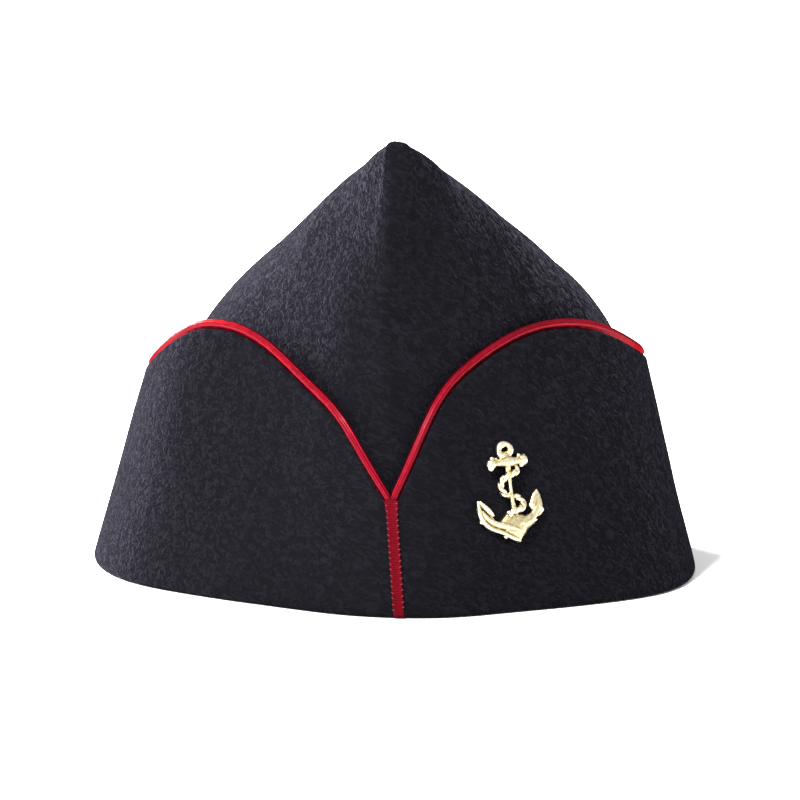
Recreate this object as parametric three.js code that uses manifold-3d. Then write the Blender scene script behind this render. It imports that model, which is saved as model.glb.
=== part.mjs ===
// A pointed garrison cap (calot) with turned-up flaps, red piping and a gilt fouled-anchor badge.
//
// Millimetres, +Z up. The cap stands open on its rim: the rim lies on z = 0, the front seam faces -Y and
// the wearer's left is at +X. Each half of the cap is swept through upright sections that fan out from
// the front seam (share 0) round one side to the back seam (share 1).
import * as THREE from 'three';
import { mergeVertices } from 'three/addons/utils/BufferGeometryUtils.js';
import Module from 'manifold-3d';

// ---- driving dimensions ----
const FLAP_THICK = 3.0;        // two layers of felted wool
const CROWN_THICK = 2.0;       // one layer of felted wool
const GAP = 0.3;               // air between neighbouring pieces
const SEAM_HALF = 0.15;        // half the air between the left and the right half
const RIDGE_LEFT = 1.6;        // width of the blunt ridge to the left of its seam
const RIDGE_RIGHT = 3.0;       // and to the right, where the seam allowance is pressed
const RIDGE_RISE = 0.6;        // height of the rounding on the ridge
const FRONT_TAPER = 0.012;     // share of the half over which the ridge narrows into the front seam
const CROWN_FOOT = 0.6;        // height of the crown's lower edge over the table
const INNER_LAST_STEP = 0.4;   // the inner face's last step up to the ridge, as a share of a whole step
const FOLD_RISE = 1.4;         // height of the rounding at the flap's fold
const EDGE_DROP = 0.8;         // height of the rounding at the flap's free edge
const PIPING_RADIUS = 1.25;
const PIPING_GAP = 0.4;        // air under the piping, a little more because its path is cut into chords
const STRIP_HALF = 1.5;        // half the width of the red strip on the front seam
const STRIP_THICK = 0.8;
const STRIP_FOOT = 1.6;        // height of the strip's lower end over the table
const STRIP_TOP_DROP = 1.2;    // how far the strip stops short of the flaps' meeting point

// How the crown's inner face lies under its outer face: the roof's handle moves in and down by these
// shares of the thickness, and the ridge draws together in length and drops.
const INNER = { overIn: 0.8, overDown: 0.6, ridgeShrink: 0.04, ridgeDrop: 2.6 };

// Where the flap's foot and edge are rounded to: shares of its thickness, from the outer face.
const FOOT_BAND = { from: 0.25, to: 0.85 };
const EDGE_BAND = { from: 0.3, to: 0.7 };

const STATIONS = 40;           // sections cut through each half of the crown and the flaps
const CROWN_STEPS = 12;        // steps up each crown section
const FLAP_STEPS = 5;          // steps up each flap section
const PIPING_STEPS = 54;
const PIPING_SIDES = 8;

// Where the rim runs on the table, how far the flap leans in (degrees) and the height of its edge.
const RIM_SECTIONS = [
  { rimX: 0,    rimY: -104,   lean: 10,   edgeLeft: 28,   edgeRight: 28 },
  { rimX: 14,   rimY: -101.5, lean: 11,   edgeLeft: 46,   edgeRight: 48.5 },
  { rimX: 30,   rimY: -92,    lean: 12.5, edgeLeft: 58,   edgeRight: 64.5 },
  { rimX: 45,   rimY: -81.5,  lean: 13.5, edgeLeft: 67,   edgeRight: 73 },
  { rimX: 60,   rimY: -69.5,  lean: 14,   edgeLeft: 72,   edgeRight: 75 },
  { rimX: 75,   rimY: -53,    lean: 14.3, edgeLeft: 70,   edgeRight: 72 },
  { rimX: 84.7, rimY: -29,    lean: 14.6, edgeLeft: 62,   edgeRight: 66.5 },
  { rimX: 87.8, rimY: 0,      lean: 14.7, edgeLeft: 55,   edgeRight: 61.5 },
  { rimX: 85.7, rimY: 30,     lean: 14.5, edgeLeft: 52,   edgeRight: 57 },
  { rimX: 77,   rimY: 58,     lean: 13,   edgeLeft: 50,   edgeRight: 53 },
  { rimX: 62,   rimY: 80,     lean: 12,   edgeLeft: 48,   edgeRight: 50 },
  { rimX: 42,   rimY: 95,     lean: 11,   edgeLeft: 45,   edgeRight: 46 },
  { rimX: 20,   rimY: 102.5,  lean: 10,   edgeLeft: 41,   edgeRight: 41 },
  { rimX: 0,    rimY: 105,    lean: 8,    edgeLeft: 36,   edgeRight: 36 },
];

// The crown over the same sections: the height where its wall starts to turn over and how far it stands
// in from the flap there, the handle that the roof bends under, where the section meets the ridge, and
// how full the roof is on each side.
const ROOF_SECTIONS = [
  { wallZ: 40, slack: 4, overX: 0, overY: -86, overZ: 92, ridgeY: -86, fullLeft: 1, fullRight: 1 },
  { wallZ: 40, slack: 5.5, overX: 19, overY: -72, overZ: 115, ridgeY: -82, fullLeft: 0.87, fullRight: 1.26 },
  { wallZ: 43, slack: 5.5, overX: 36, overY: -57, overZ: 113, ridgeY: -73, fullLeft: 0.8, fullRight: 1.05 },
  { wallZ: 47, slack: 4, overX: 49, overY: -44, overZ: 107, ridgeY: -60, fullLeft: 0.78, fullRight: 1.06 },
  { wallZ: 53, slack: 3, overX: 57, overY: -32, overZ: 100, ridgeY: -45, fullLeft: 0.79, fullRight: 1.04 },
  { wallZ: 64, slack: 2, overX: 61, overY: -20, overZ: 93, ridgeY: -29, fullLeft: 0.75, fullRight: 1.04 },
  { wallZ: 76, slack: 0.3, overX: 62, overY: -8, overZ: 87, ridgeY: -12, fullLeft: 0.64, fullRight: 0.98 },
  { wallZ: 83, slack: 0, overX: 61, overY: 5, overZ: 83, ridgeY: 6, fullLeft: 0.56, fullRight: 0.98 },
  { wallZ: 81, slack: 0, overX: 58, overY: 20, overZ: 81, ridgeY: 26, fullLeft: 0.61, fullRight: 1.01 },
  { wallZ: 68, slack: 0.6, overX: 52, overY: 37, overZ: 81, ridgeY: 46, fullLeft: 0.76, fullRight: 1.08 },
  { wallZ: 53, slack: 2, overX: 43, overY: 54, overZ: 85, ridgeY: 65, fullLeft: 0.9, fullRight: 1.02 },
  { wallZ: 44, slack: 3.5, overX: 31, overY: 69, overZ: 88, ridgeY: 80, fullLeft: 0.97, fullRight: 1 },
  { wallZ: 41, slack: 4, overX: 17, overY: 81, overZ: 87, ridgeY: 90, fullLeft: 1, fullRight: 1 },
  { wallZ: 40, slack: 4, overX: 0, overY: 91, overZ: 80, ridgeY: 94, fullLeft: 1, fullRight: 1 },
];

// The ridge seam, seen from the side: a front point that stands up, a saddle and a lower back point.
const RIDGE = [
  { y: -86, z: 128 },
  { y: -50, z: 120 },
  { y: 0, z: 111 },
  { y: 50, z: 107 },
  { y: 94, z: 108 },
];

// The front seam isn't quite plumb: it wanders sideways as it climbs, and the cloth beside it follows.
const BOW = [
  { z: 0, x: 1.5 },
  { z: 33, x: -1.5 },
  { z: 85, x: -4.5 },
  { z: 128, x: -2 },
];
const BOW_REACH = 45;          // how far to each side of the seam the cloth follows
const BOW_END = 60;            // y where the bow has died away
const BOW_FADE = 150;          // length over which it dies away

// ---- smooth curves through the tables ----
const SMOOTHING_ROUNDS = 40;

// The slopes at the points with which the curve's bend runs on evenly from one stretch to the next. Each
// slope is eased towards its neighbours until they agree.
function slopesThrough(xs, ys, flatEnds) {
  const last = xs.length - 1;
  const steps = xs.slice(1).map((x, i) => x - xs[i]);
  const rates = steps.map((step, i) => (ys[i + 1] - ys[i]) / step);
  const slopes = xs.map(() => 0);
  for (let round = 0; round < SMOOTHING_ROUNDS; round += 1) {
    for (let i = 1; i < last; i += 1) {
      const before = 1 / steps[i - 1];
      const after = 1 / steps[i];
      const pull = 3 * (rates[i - 1] * before + rates[i] * after);
      slopes[i] = (pull - slopes[i - 1] * before - slopes[i + 1] * after) / (2 * (before + after));
    }
    if (!flatEnds) {
      slopes[0] = 1.5 * rates[0] - 0.5 * slopes[1];
      slopes[last] = 1.5 * rates[last - 1] - 0.5 * slopes[last - 1];
    }
  }
  return slopes;
}

// A function of x that runs smoothly through the points, with level ends if flatEnds is set.
function smoothThrough(xs, ys, flatEnds = false) {
  const slopes = slopesThrough(xs, ys, flatEnds);
  return (x) => {
    let i = 0;
    while (i < xs.length - 2 && x >= xs[i + 1]) i += 1;
    const step = xs[i + 1] - xs[i];
    const t = (x - xs[i]) / step;
    const t2 = t * t;
    const t3 = t2 * t;
    return (2 * t3 - 3 * t2 + 1) * ys[i] + (t3 - 2 * t2 + t) * step * slopes[i]
      + (3 * t2 - 2 * t3) * ys[i + 1] + (t3 - t2) * step * slopes[i + 1];
  };
}

const column = (table, name) => table.map((row) => row[name]);

// How far along the rim each section stands from the front seam.
function sectionLengths() {
  const lengths = [0];
  for (let i = 1; i < RIM_SECTIONS.length; i += 1) {
    const from = RIM_SECTIONS[i - 1];
    const to = RIM_SECTIONS[i];
    lengths.push(lengths[i - 1] + Math.hypot(to.rimX - from.rimX, to.rimY - from.rimY));
  }
  return lengths;
}

const LENGTHS = sectionLengths();
const HALF_GIRTH = LENGTHS[LENGTHS.length - 1];
const SHARES = LENGTHS.map((length) => length / HALF_GIRTH);
const rimAt = {
  x: smoothThrough(SHARES, column(RIM_SECTIONS, 'rimX')),
  y: smoothThrough(SHARES, column(RIM_SECTIONS, 'rimY'), true),
  lean: smoothThrough(SHARES, column(RIM_SECTIONS, 'lean')),
  edgeLeft: smoothThrough(SHARES, column(RIM_SECTIONS, 'edgeLeft')),
  edgeRight: smoothThrough(SHARES, column(RIM_SECTIONS, 'edgeRight')),
};
const roofAt = Object.fromEntries(Object.keys(ROOF_SECTIONS[0]).map(
  (name) => [name, smoothThrough(SHARES, column(ROOF_SECTIONS, name))],
));
const ridgeHeight = smoothThrough(column(RIDGE, 'y'), column(RIDGE, 'z'));
const bowAt = smoothThrough(column(BOW, 'z'), column(BOW, 'x'));

const NEARBY = 1e-4;           // step in share over which a direction is measured

const clamp01 = (value) => Math.min(1, Math.max(0, value));
const ease = (value) => clamp01(value) ** 2 * (3 - 2 * clamp01(value));

// Sideways shift of the cloth beside the front seam, for a point x out from the middle.
function bow(x, y, z) {
  const top = BOW[BOW.length - 1].z;
  const side = ease(1 - Math.abs(x) / BOW_REACH);
  const back = ease((BOW_END - y) / BOW_FADE);
  return bowAt(Math.min(top, Math.max(0, z))) * side * back;
}

// A point of the +X half, placed on its own side (+1 right, -1 left) and carried by the bow.
function placed(x, y, z, side) {
  return new THREE.Vector3(side * (Math.max(0, x) + SEAM_HALF) + bow(x, y, z), y, z);
}

// The rim at one share: its point and the outward direction, in plan.
function rimFrame(share) {
  const from = Math.max(0, share - NEARBY);
  const to = Math.min(1, share + NEARBY);
  const alongX = rimAt.x(to) - rimAt.x(from);
  const alongY = rimAt.y(to) - rimAt.y(from);
  const length = Math.hypot(alongX, alongY);
  return { x: rimAt.x(share), y: rimAt.y(share), outX: alongY / length, outY: -alongX / length };
}

const leanSlope = (share) => Math.tan(THREE.MathUtils.degToRad(rimAt.lean(share)));

// A point of the flap: inset is how far it lies in from the outer face, z its height.
function flapPoint(share, z, inset, side) {
  const rim = rimFrame(share);
  const inward = leanSlope(share) * z + inset;
  return placed(rim.x - rim.outX * inward, rim.y - rim.outY * inward, z, side);
}

// The edge's height on one side. Both flaps are cut alike, but sit a little differently.
const edgeHeight = (share, side) => (side < 0 ? rimAt.edgeLeft(share) : rimAt.edgeRight(share));

// The four handles of one crown section. inset 0 gives the outer face, CROWN_THICK the inner face.
function crownHandles(share, side, inset) {
  const rim = rimFrame(share);
  const inPlan = (inward, z) => new THREE.Vector3(rim.x - rim.outX * inward, rim.y - rim.outY * inward, z);
  const wall = roofAt.wallZ(share);
  const footInward = FLAP_THICK + GAP + leanSlope(share) * CROWN_FOOT;
  const wallInward = FLAP_THICK + GAP + leanSlope(share) * wall + roofAt.slack(share);
  const ridgeY = roofAt.ridgeY(share);
  const full = side < 0 ? roofAt.fullLeft(share) : roofAt.fullRight(share);
  const widen = (side < 0 ? RIDGE_LEFT : RIDGE_RIGHT) * clamp01(share / FRONT_TAPER);
  const ridge = new THREE.Vector3(widen, ridgeY, ridgeHeight(ridgeY));
  const over = new THREE.Vector3(roofAt.overX(share), roofAt.overY(share), roofAt.overZ(share));
  over.lerpVectors(ridge, over, full);
  if (inset > 0) {
    over.x -= rim.outX * INNER.overIn * inset;
    over.y -= rim.outY * INNER.overIn * inset;
    over.z -= INNER.overDown * inset;
    ridge.set(0, ridgeY * (1 - INNER.ridgeShrink), ridge.z - INNER.ridgeDrop);
  }
  return [inPlan(footInward + inset, CROWN_FOOT), inPlan(wallInward + inset, wall), over, ridge];
}

// The points up one crown section, from foot to ridge.
function crownSection(share, side, inset) {
  const curve = new THREE.CubicBezierCurve3(...crownHandles(share, side, inset));
  const points = [];
  for (let i = 0; i < CROWN_STEPS; i += 1) {
    points.push(curve.getPoint(i / CROWN_STEPS));
  }
  const ridge = curve.v3;
  if (inset === 0) points.push(ridge, new THREE.Vector3(0, ridge.y, ridge.z + RIDGE_RISE));
  else points.push(curve.getPoint(1 - INNER_LAST_STEP / CROWN_STEPS), ridge);
  return points.map((p) => placed(p.x, p.y, p.z, side));
}

// ---- solids from grids of points ----

// A closed solid through a row of closed sections. Each section is a list of outer points followed by as
// many inner points in the same order; the two ends are closed across from outer to inner.
function sweptSolid(sections, flipped) {
  const half = sections[0].length / 2;
  const ring = (section) => [...section.slice(0, half), ...section.slice(half).reverse()];
  const rings = sections.map(ring);
  const count = 2 * half;
  const positions = rings.flat().flatMap((p) => [p.x, p.y, p.z]);
  const triangles = [];
  const quad = (a, b, c, d) => {
    triangles.push(a, b, c, a, c, d);
  };
  for (let i = 0; i < rings.length - 1; i += 1) {
    for (let j = 0; j < count; j += 1) {
      const next = (j + 1) % count;
      quad(i * count + j, (i + 1) * count + j, (i + 1) * count + next, i * count + next);
    }
  }
  const lastRing = (rings.length - 1) * count;
  for (let j = 0; j < half - 1; j += 1) {
    const across = count - 1 - j;
    quad(j, j + 1, across - 1, across);
    quad(lastRing + j, lastRing + across, lastRing + across - 1, lastRing + j + 1);
  }
  if (flipped) triangles.reverse();
  const geometry = new THREE.BufferGeometry();
  geometry.setAttribute('position', new THREE.Float32BufferAttribute(positions, 3));
  geometry.setIndex(triangles);
  geometry.computeVertexNormals();
  return geometry;
}

const shareList = Array.from({ length: STATIONS + 1 }, (_, i) => i / STATIONS);

function crownGeometry(side) {
  const sections = shareList.map((share) => [
    ...crownSection(share, side, 0),
    ...crownSection(share, side, CROWN_THICK),
  ]);
  return sweptSolid(sections, side < 0);
}

// The flap's section: up the outer face from the rounded fold to the rounded edge, and the inner face.
function flapSection(share, side) {
  const edge = edgeHeight(share, side);
  const rise = Array.from({ length: FLAP_STEPS + 1 },
    (_, i) => FOLD_RISE + (edge - EDGE_DROP - FOLD_RISE) * (i / FLAP_STEPS));
  const face = (bottomInset, midInset, topInset) => [
    flapPoint(share, 0, bottomInset, side),
    ...rise.map((z) => flapPoint(share, z, midInset, side)),
    flapPoint(share, edge, topInset, side),
  ];
  return [
    ...face(FOOT_BAND.from * FLAP_THICK, 0, EDGE_BAND.from * FLAP_THICK),
    ...face(FOOT_BAND.to * FLAP_THICK, FLAP_THICK, EDGE_BAND.to * FLAP_THICK),
  ];
}

const flapGeometry = (side) => sweptSolid(shareList.map((share) => flapSection(share, side)), side < 0);

// ---- piping along the flap's edge ----
function pipingCurve(side) {
  const points = [];
  for (let i = 0; i <= PIPING_STEPS; i += 1) {
    const share = i / PIPING_STEPS;
    const from = Math.max(0, share - NEARBY);
    const to = Math.min(1, share + NEARBY);
    const rise = edgeHeight(to, side) - edgeHeight(from, side);
    const steep = Math.hypot(1, rise / ((to - from) * HALF_GIRTH));
    const z = edgeHeight(share, side) + (PIPING_RADIUS + PIPING_GAP) * steep;
    points.push(flapPoint(share, z, 0.5 * FLAP_THICK, side));
  }
  return new THREE.CatmullRomCurve3(points);
}

function circleShape(radius, sides) {
  const corners = Array.from({ length: sides }, (_, i) => {
    const angle = (2 * Math.PI * i) / sides;
    return new THREE.Vector2(radius * Math.cos(angle), radius * Math.sin(angle));
  });
  return new THREE.Shape(corners);
}

function tubeAlong(curve, radius, steps, sides) {
  return new THREE.ExtrudeGeometry(circleShape(radius, sides), {
    steps,
    extrudePath: curve,
    bevelEnabled: false,
  });
}

// The two cords press flat against each other where they meet at the front and the back seam.
function pipingGeometry(side) {
  const geometry = tubeAlong(pipingCurve(side), PIPING_RADIUS, PIPING_STEPS, PIPING_SIDES);
  const place = geometry.getAttribute('position');
  for (let i = 0; i < place.count; i += 1) {
    const seam = bow(0, place.getY(i), place.getZ(i));
    const out = side * (place.getX(i) - seam);
    if (out < SEAM_HALF) place.setX(i, seam + side * SEAM_HALF);
  }
  return geometry;
}

// ---- the flat red strip on the front seam ----
function stripSection(z) {
  const outer = [];
  const inner = [];
  for (const across of [-1, -0.5, 0, 0.5, 1]) {
    const x = across * STRIP_HALF;
    const bend = flapPoint(Math.abs(x) / HALF_GIRTH, z, 0, 1).y;
    outer.push(new THREE.Vector3(x + bow(0, bend, z), bend - GAP - STRIP_THICK, z));
    inner.push(new THREE.Vector3(x + bow(0, bend, z), bend - GAP, z));
  }
  return [...outer, ...inner];
}

function stripGeometry() {
  const top = edgeHeight(0, 1) - STRIP_TOP_DROP;
  const steps = 10;
  const sections = Array.from({ length: steps + 1 },
    (_, i) => stripSection(STRIP_FOOT + (top - STRIP_FOOT) * (i / steps)));
  return sweptSolid(sections, true);
}

// ---- the fouled-anchor badge, in its own frame: x right, y up the shank, z out of the cloth ----
const BADGE_SHARE = 0.13;      // where the badge sits round the right half
const BADGE_SPREAD = 0.02;     // share over which the cloth behind it is taken as flat
const BADGE_FOOT_Z = 18.5;     // height of the anchor's lowest point
const ANCHOR = {
  height: 28.2,
  armThick: 1.5,
  shankY: 14,
  shankLength: 20,
  shankRadius: 0.75,
  shankTaper: 0.8,
  ringX: -0.5,
  ringRadius: 1.9,
  ringTube: 1.0,
  stockY: 22.3,
  stockHalf: 5.3,
  stockRadius: 1.1,
  knobRadius: 1.65,
  ropeRadius: 0.8,
  middle: 1.1,                 // height of the shank's, stock's and ring's middle over the flat back
};
const BACK_CUT = 80;           // side of the block that cuts the back flat
const PIN = { y: 12, shaftRadius: 0.6, holeRadius: 0.9, headRadius: 3, headThick: 0.7, headSink: 0.05 };

const wasm = await Module();
wasm.setup();

function toManifold(geometry) {
  const bare = geometry.clone();
  bare.deleteAttribute('normal');
  bare.deleteAttribute('uv');
  const merged = mergeVertices(bare, 1e-4);
  return new wasm.Manifold(new wasm.Mesh({
    numProp: 3,
    vertProperties: new Float32Array(merged.getAttribute('position').array),
    triVerts: new Uint32Array(merged.getIndex().array),
  }));
}

function toGeometry(manifold) {
  const mesh = manifold.getMesh();
  const geometry = new THREE.BufferGeometry();
  geometry.setAttribute('position', new THREE.BufferAttribute(new Float32Array(mesh.vertProperties), 3));
  geometry.setIndex(new THREE.BufferAttribute(new Uint32Array(mesh.triVerts), 1));
  geometry.computeVertexNormals();
  return geometry;
}

// The arms: a broad crown that comes to a point below, with a barbed fluke at each end.
function armsShape() {
  const shape = new THREE.Shape();
  shape.moveTo(0.6, 0);
  shape.lineTo(3.4, 3.3);
  shape.quadraticCurveTo(6.6, 4.3, 8.9, 6.6);
  shape.lineTo(10.5, 8.2);
  shape.quadraticCurveTo(10.6, 11.6, 8.9, 14.3);
  shape.quadraticCurveTo(6.5, 12.6, 5.9, 10.2);
  shape.quadraticCurveTo(5.2, 7.2, 3.2, 7.3);
  shape.lineTo(1.3, 7.9);
  shape.lineTo(-2.2, 8.3);
  shape.lineTo(-4.9, 6.1);
  shape.lineTo(-7.2, 7.8);
  shape.lineTo(-11.7, 12.6);
  shape.quadraticCurveTo(-12, 9, -11.2, 6.4);
  shape.quadraticCurveTo(-8.4, 3.8, -5.4, 3.3);
  shape.lineTo(-3.6, 1.6);
  return shape;
}

// The rope: from under the stock's right end, round the shank to the left, back to the right and down
// on to the crown.
const ROPE = [
  { x: 2.6, y: 20.4, z: 1.3 },
  { x: 1.5, y: 19.2, z: 1.9 },
  { x: -0.9, y: 18.5, z: 1.8 },
  { x: -3, y: 17.4, z: 1.3 },
  { x: -3.3, y: 15.4, z: 1.1 },
  { x: -1.8, y: 13.4, z: 0.9 },
  { x: 0.8, y: 12.8, z: 0.9 },
  { x: 2.9, y: 11.6, z: 1.2 },
  { x: 2.7, y: 9.8, z: 1.7 },
  { x: 0.4, y: 8.9, z: 2 },
  { x: -1.9, y: 8.2, z: 1.8 },
];

function anchorGeometry() {
  const arms = new THREE.ExtrudeGeometry(armsShape(), {
    depth: ANCHOR.armThick, curveSegments: 6, bevelEnabled: false,
  });
  const thinEnd = ANCHOR.shankTaper * ANCHOR.shankRadius;
  const shank = new THREE.CylinderGeometry(thinEnd, ANCHOR.shankRadius, ANCHOR.shankLength, 10);
  shank.translate(0, ANCHOR.shankY, ANCHOR.middle);
  const stock = new THREE.CapsuleGeometry(ANCHOR.stockRadius, 2 * ANCHOR.stockHalf, 3, 10);
  stock.rotateZ(Math.PI / 2);
  stock.translate(0, ANCHOR.stockY, ANCHOR.middle);
  const ring = new THREE.TorusGeometry(ANCHOR.ringRadius, ANCHOR.ringTube, 8, 18);
  ring.translate(ANCHOR.ringX, ANCHOR.height - ANCHOR.ringRadius - ANCHOR.ringTube, ANCHOR.middle);
  const ropePath = new THREE.CatmullRomCurve3(ROPE.map((p) => new THREE.Vector3(p.x, p.y, p.z)));
  const rope = tubeAlong(ropePath, ANCHOR.ropeRadius, 30, 8);
  const knobs = [-1, 1].map((end) => {
    const knob = new THREE.SphereGeometry(ANCHOR.knobRadius, 10, 7);
    knob.translate(end * ANCHOR.stockHalf, ANCHOR.stockY, ANCHOR.middle);
    return knob;
  });
  const pieces = [arms, shank, stock, ring, rope, ...knobs].map(toManifold);
  const joined = pieces.reduce((whole, piece) => whole.add(piece));
  const behind = new THREE.BoxGeometry(BACK_CUT, BACK_CUT, BACK_CUT).translate(0, 0, -BACK_CUT / 2);
  return toGeometry(joined.subtract(toManifold(behind)));
}

// The badge's frame on the right flap: its foot on the outer face, y up the slope, z outwards.
function badgeFrame() {
  const foot = flapPoint(BADGE_SHARE, BADGE_FOOT_Z, 0, 1);
  const head = flapPoint(BADGE_SHARE, BADGE_FOOT_Z + ANCHOR.height, 0, 1);
  const beside = flapPoint(BADGE_SHARE + BADGE_SPREAD, BADGE_FOOT_Z, 0, 1);
  const up = head.clone().sub(foot).normalize();
  const outward = beside.sub(foot).cross(up).normalize();
  const right = up.clone().cross(outward);
  const frame = new THREE.Matrix4().makeBasis(right, up, outward);
  return frame.setPosition(foot.addScaledVector(outward, GAP));
}

// The plain pin behind the badge: a shaft through the flap and a round head behind it.
function pinGeometry() {
  const shaftLength = FLAP_THICK + 2 * GAP;
  const shaft = new THREE.CylinderGeometry(PIN.shaftRadius, PIN.shaftRadius, shaftLength, 10);
  shaft.rotateX(Math.PI / 2);
  shaft.translate(0, PIN.y, -GAP - shaftLength / 2);
  const head = new THREE.CylinderGeometry(PIN.headRadius, PIN.headRadius, PIN.headThick, 16);
  head.rotateX(Math.PI / 2);
  head.translate(0, PIN.y, PIN.headSink - GAP - shaftLength - PIN.headThick / 2);
  return toGeometry(toManifold(shaft).add(toManifold(head)));
}

// The right flap, with the hole that the pin passes through.
function piercedFlapGeometry() {
  const hole = new THREE.CylinderGeometry(PIN.holeRadius, PIN.holeRadius, 4 * FLAP_THICK, 12);
  hole.rotateX(Math.PI / 2);
  hole.translate(0, PIN.y, 0);
  hole.applyMatrix4(badgeFrame());
  return toGeometry(toManifold(flapGeometry(1)).subtract(toManifold(hole)));
}

// ---- the cap ----
const wool = () => new THREE.MeshStandardMaterial({ color: 0x1d1d25, roughness: 0.95, metalness: 0 });
const redCord = () => new THREE.MeshStandardMaterial({ color: 0xb01530, roughness: 0.5, metalness: 0 });
const redCloth = () => new THREE.MeshStandardMaterial({ color: 0x9a1229, roughness: 0.8, metalness: 0 });
const gilt = () => new THREE.MeshStandardMaterial({ color: 0xd9bd6a, roughness: 0.3, metalness: 1 });
const steel = () => new THREE.MeshStandardMaterial({ color: 0xa8a8a8, roughness: 0.4, metalness: 1 });

const group = new THREE.Group();

function addPiece(name, geometry, material) {
  const mesh = new THREE.Mesh(geometry, material);
  mesh.name = name;
  group.add(mesh);
  return mesh;
}

addPiece('crown_left', crownGeometry(-1), wool());
addPiece('crown_right', crownGeometry(1), wool());
addPiece('flap_left', flapGeometry(-1), wool());
addPiece('flap_right', piercedFlapGeometry(), wool());
addPiece('piping_left', pipingGeometry(-1), redCord());
addPiece('piping_right', pipingGeometry(1), redCord());
addPiece('piping_front', stripGeometry(), redCloth());
addPiece('badge_anchor', anchorGeometry(), gilt()).applyMatrix4(badgeFrame());
addPiece('badge_pin', pinGeometry(), steel()).applyMatrix4(badgeFrame());

export default group;
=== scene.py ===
"""A pointed garrison cap in dark wool felt with red piping and a gilt fouled-anchor badge.

The cloth follows the CAD model's sections closely. It is worked out in millimetres and stored in metres.
Each half of the cap runs through upright sections from the front seam (share 0) round one side to the
back seam (share 1). The front faces -Y and the wearer's left is at +X.
"""

import math

import bmesh
import bpy
import numpy as np
from mathutils import Matrix, Vector


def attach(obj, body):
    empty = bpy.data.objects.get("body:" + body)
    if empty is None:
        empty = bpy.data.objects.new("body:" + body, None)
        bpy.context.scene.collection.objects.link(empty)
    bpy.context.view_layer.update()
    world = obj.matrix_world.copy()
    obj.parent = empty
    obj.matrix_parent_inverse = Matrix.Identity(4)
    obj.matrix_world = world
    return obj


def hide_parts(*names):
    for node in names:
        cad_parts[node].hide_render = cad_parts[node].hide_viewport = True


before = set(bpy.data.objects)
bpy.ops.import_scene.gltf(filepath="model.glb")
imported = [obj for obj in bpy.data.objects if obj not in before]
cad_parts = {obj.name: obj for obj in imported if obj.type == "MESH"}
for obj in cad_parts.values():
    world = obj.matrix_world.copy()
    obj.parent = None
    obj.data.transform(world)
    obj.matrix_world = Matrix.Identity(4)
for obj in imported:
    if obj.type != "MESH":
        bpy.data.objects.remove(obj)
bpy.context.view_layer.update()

MM = 0.001
TO_METRES = Matrix.Diagonal((MM, MM, MM, 1))
SIDES = {"left": -1, "right": 1}  # left and right as seen from the front

# ---- driving dimensions, in millimetres ----
FLAP_THICK = 3.0
CROWN_THICK = 2.0
GAP = 0.3
SEAM_HALF = 0.006  # half of the gap between the cap's two halves
RIDGE_HALF = {-1: 2.1, 1: 3.8}  # how far the ridge reaches to each side of the seam
RIDGE_TAPER = 0.012  # the share over which the ridge widens behind its front point
CROWN_FOOT = 0.6
CORD_RADIUS = 1.25
CORD_GAP = 0.4

# The rim's x and y, the wall's lean in degrees, and the height of the left and of the right flap's edge.
RIM_SECTIONS = np.array([
    (0, -104, 10, 28, 28),
    (14, -101.5, 11, 46, 48.5),
    (30, -92, 12.5, 58, 64.5),
    (45, -81.5, 13.5, 67, 73),
    (60, -69.5, 14, 72, 75),
    (75, -53, 14.3, 70, 72),
    (84.7, -29, 14.6, 62, 66.5),
    (87.8, 0, 14.7, 55, 61.5),
    (85.7, 30, 14.5, 52, 57),
    (77, 58, 13, 50, 53),
    (62, 80, 12, 48, 50),
    (42, 95, 11, 45, 46),
    (20, 102.5, 10, 41, 41),
    (0, 105, 8, 36, 36),
])

# Height and slack of the crown's wall; x, y and z of the point that rounds the wall over to the ridge;
# y on the ridge; and the fullness of the left and of the right half.
ROOF_SECTIONS = np.array([
    (40, 4, 0, -86, 92, -86, 1, 1),
    (40, 5.5, 19, -72, 115, -82, 0.87, 1.26),
    (43, 5.5, 36, -57, 113, -73, 0.8, 1.05),
    (47, 4, 49, -44, 107, -60, 0.78, 1.06),
    (53, 3, 57, -32, 100, -45, 0.79, 1.04),
    (64, 2, 61, -20, 93, -29, 0.75, 1.04),
    (76, 0.3, 62, -8, 87, -12, 0.64, 0.98),
    (83, 0, 61, 5, 83, 6, 0.56, 0.98),
    (81, 0, 58, 20, 81, 26, 0.61, 1.01),
    (68, 0.6, 52, 37, 81, 46, 0.76, 1.08),
    (53, 2, 43, 54, 85, 65, 0.9, 1.02),
    (44, 3.5, 31, 69, 88, 80, 0.97, 1),
    (41, 4, 17, 81, 87, 90, 1, 1),
    (40, 4, 0, 91, 80, 94, 1, 1),
])

RIDGE = np.array([(-86, 128), (-50, 120), (0, 111), (50, 107), (94, 108)])  # y, z
# The front seam wanders sideways as it climbs: z and x of its line, how far beside it the cloth follows,
# and the y at which that has faded out.
BOW = np.array([(0, 1.5), (33, -1.5), (85, -4.5), (128, -2.6)])
BOW_REACH = 45
BOW_END = 60
BOW_FADE = 150


# ---- smooth curves through the tables ----
SMOOTHING_ROUNDS = 40


def slopes_through(xs, ys, flat_ends):
    """The slopes with which the curve's bend runs on evenly from one stretch to the next."""
    steps = np.diff(xs)
    rates = np.diff(ys) / steps
    slopes = np.zeros_like(xs)
    for _ in range(SMOOTHING_ROUNDS):
        for i in range(1, len(xs) - 1):
            before, after = 1 / steps[i - 1], 1 / steps[i]
            pull = 3 * (rates[i - 1] * before + rates[i] * after)
            slopes[i] = (pull - slopes[i - 1] * before - slopes[i + 1] * after) / (2 * (before + after))
        if not flat_ends:
            slopes[0] = 1.5 * rates[0] - 0.5 * slopes[1]
            slopes[-1] = 1.5 * rates[-1] - 0.5 * slopes[-2]
    return slopes


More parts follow.
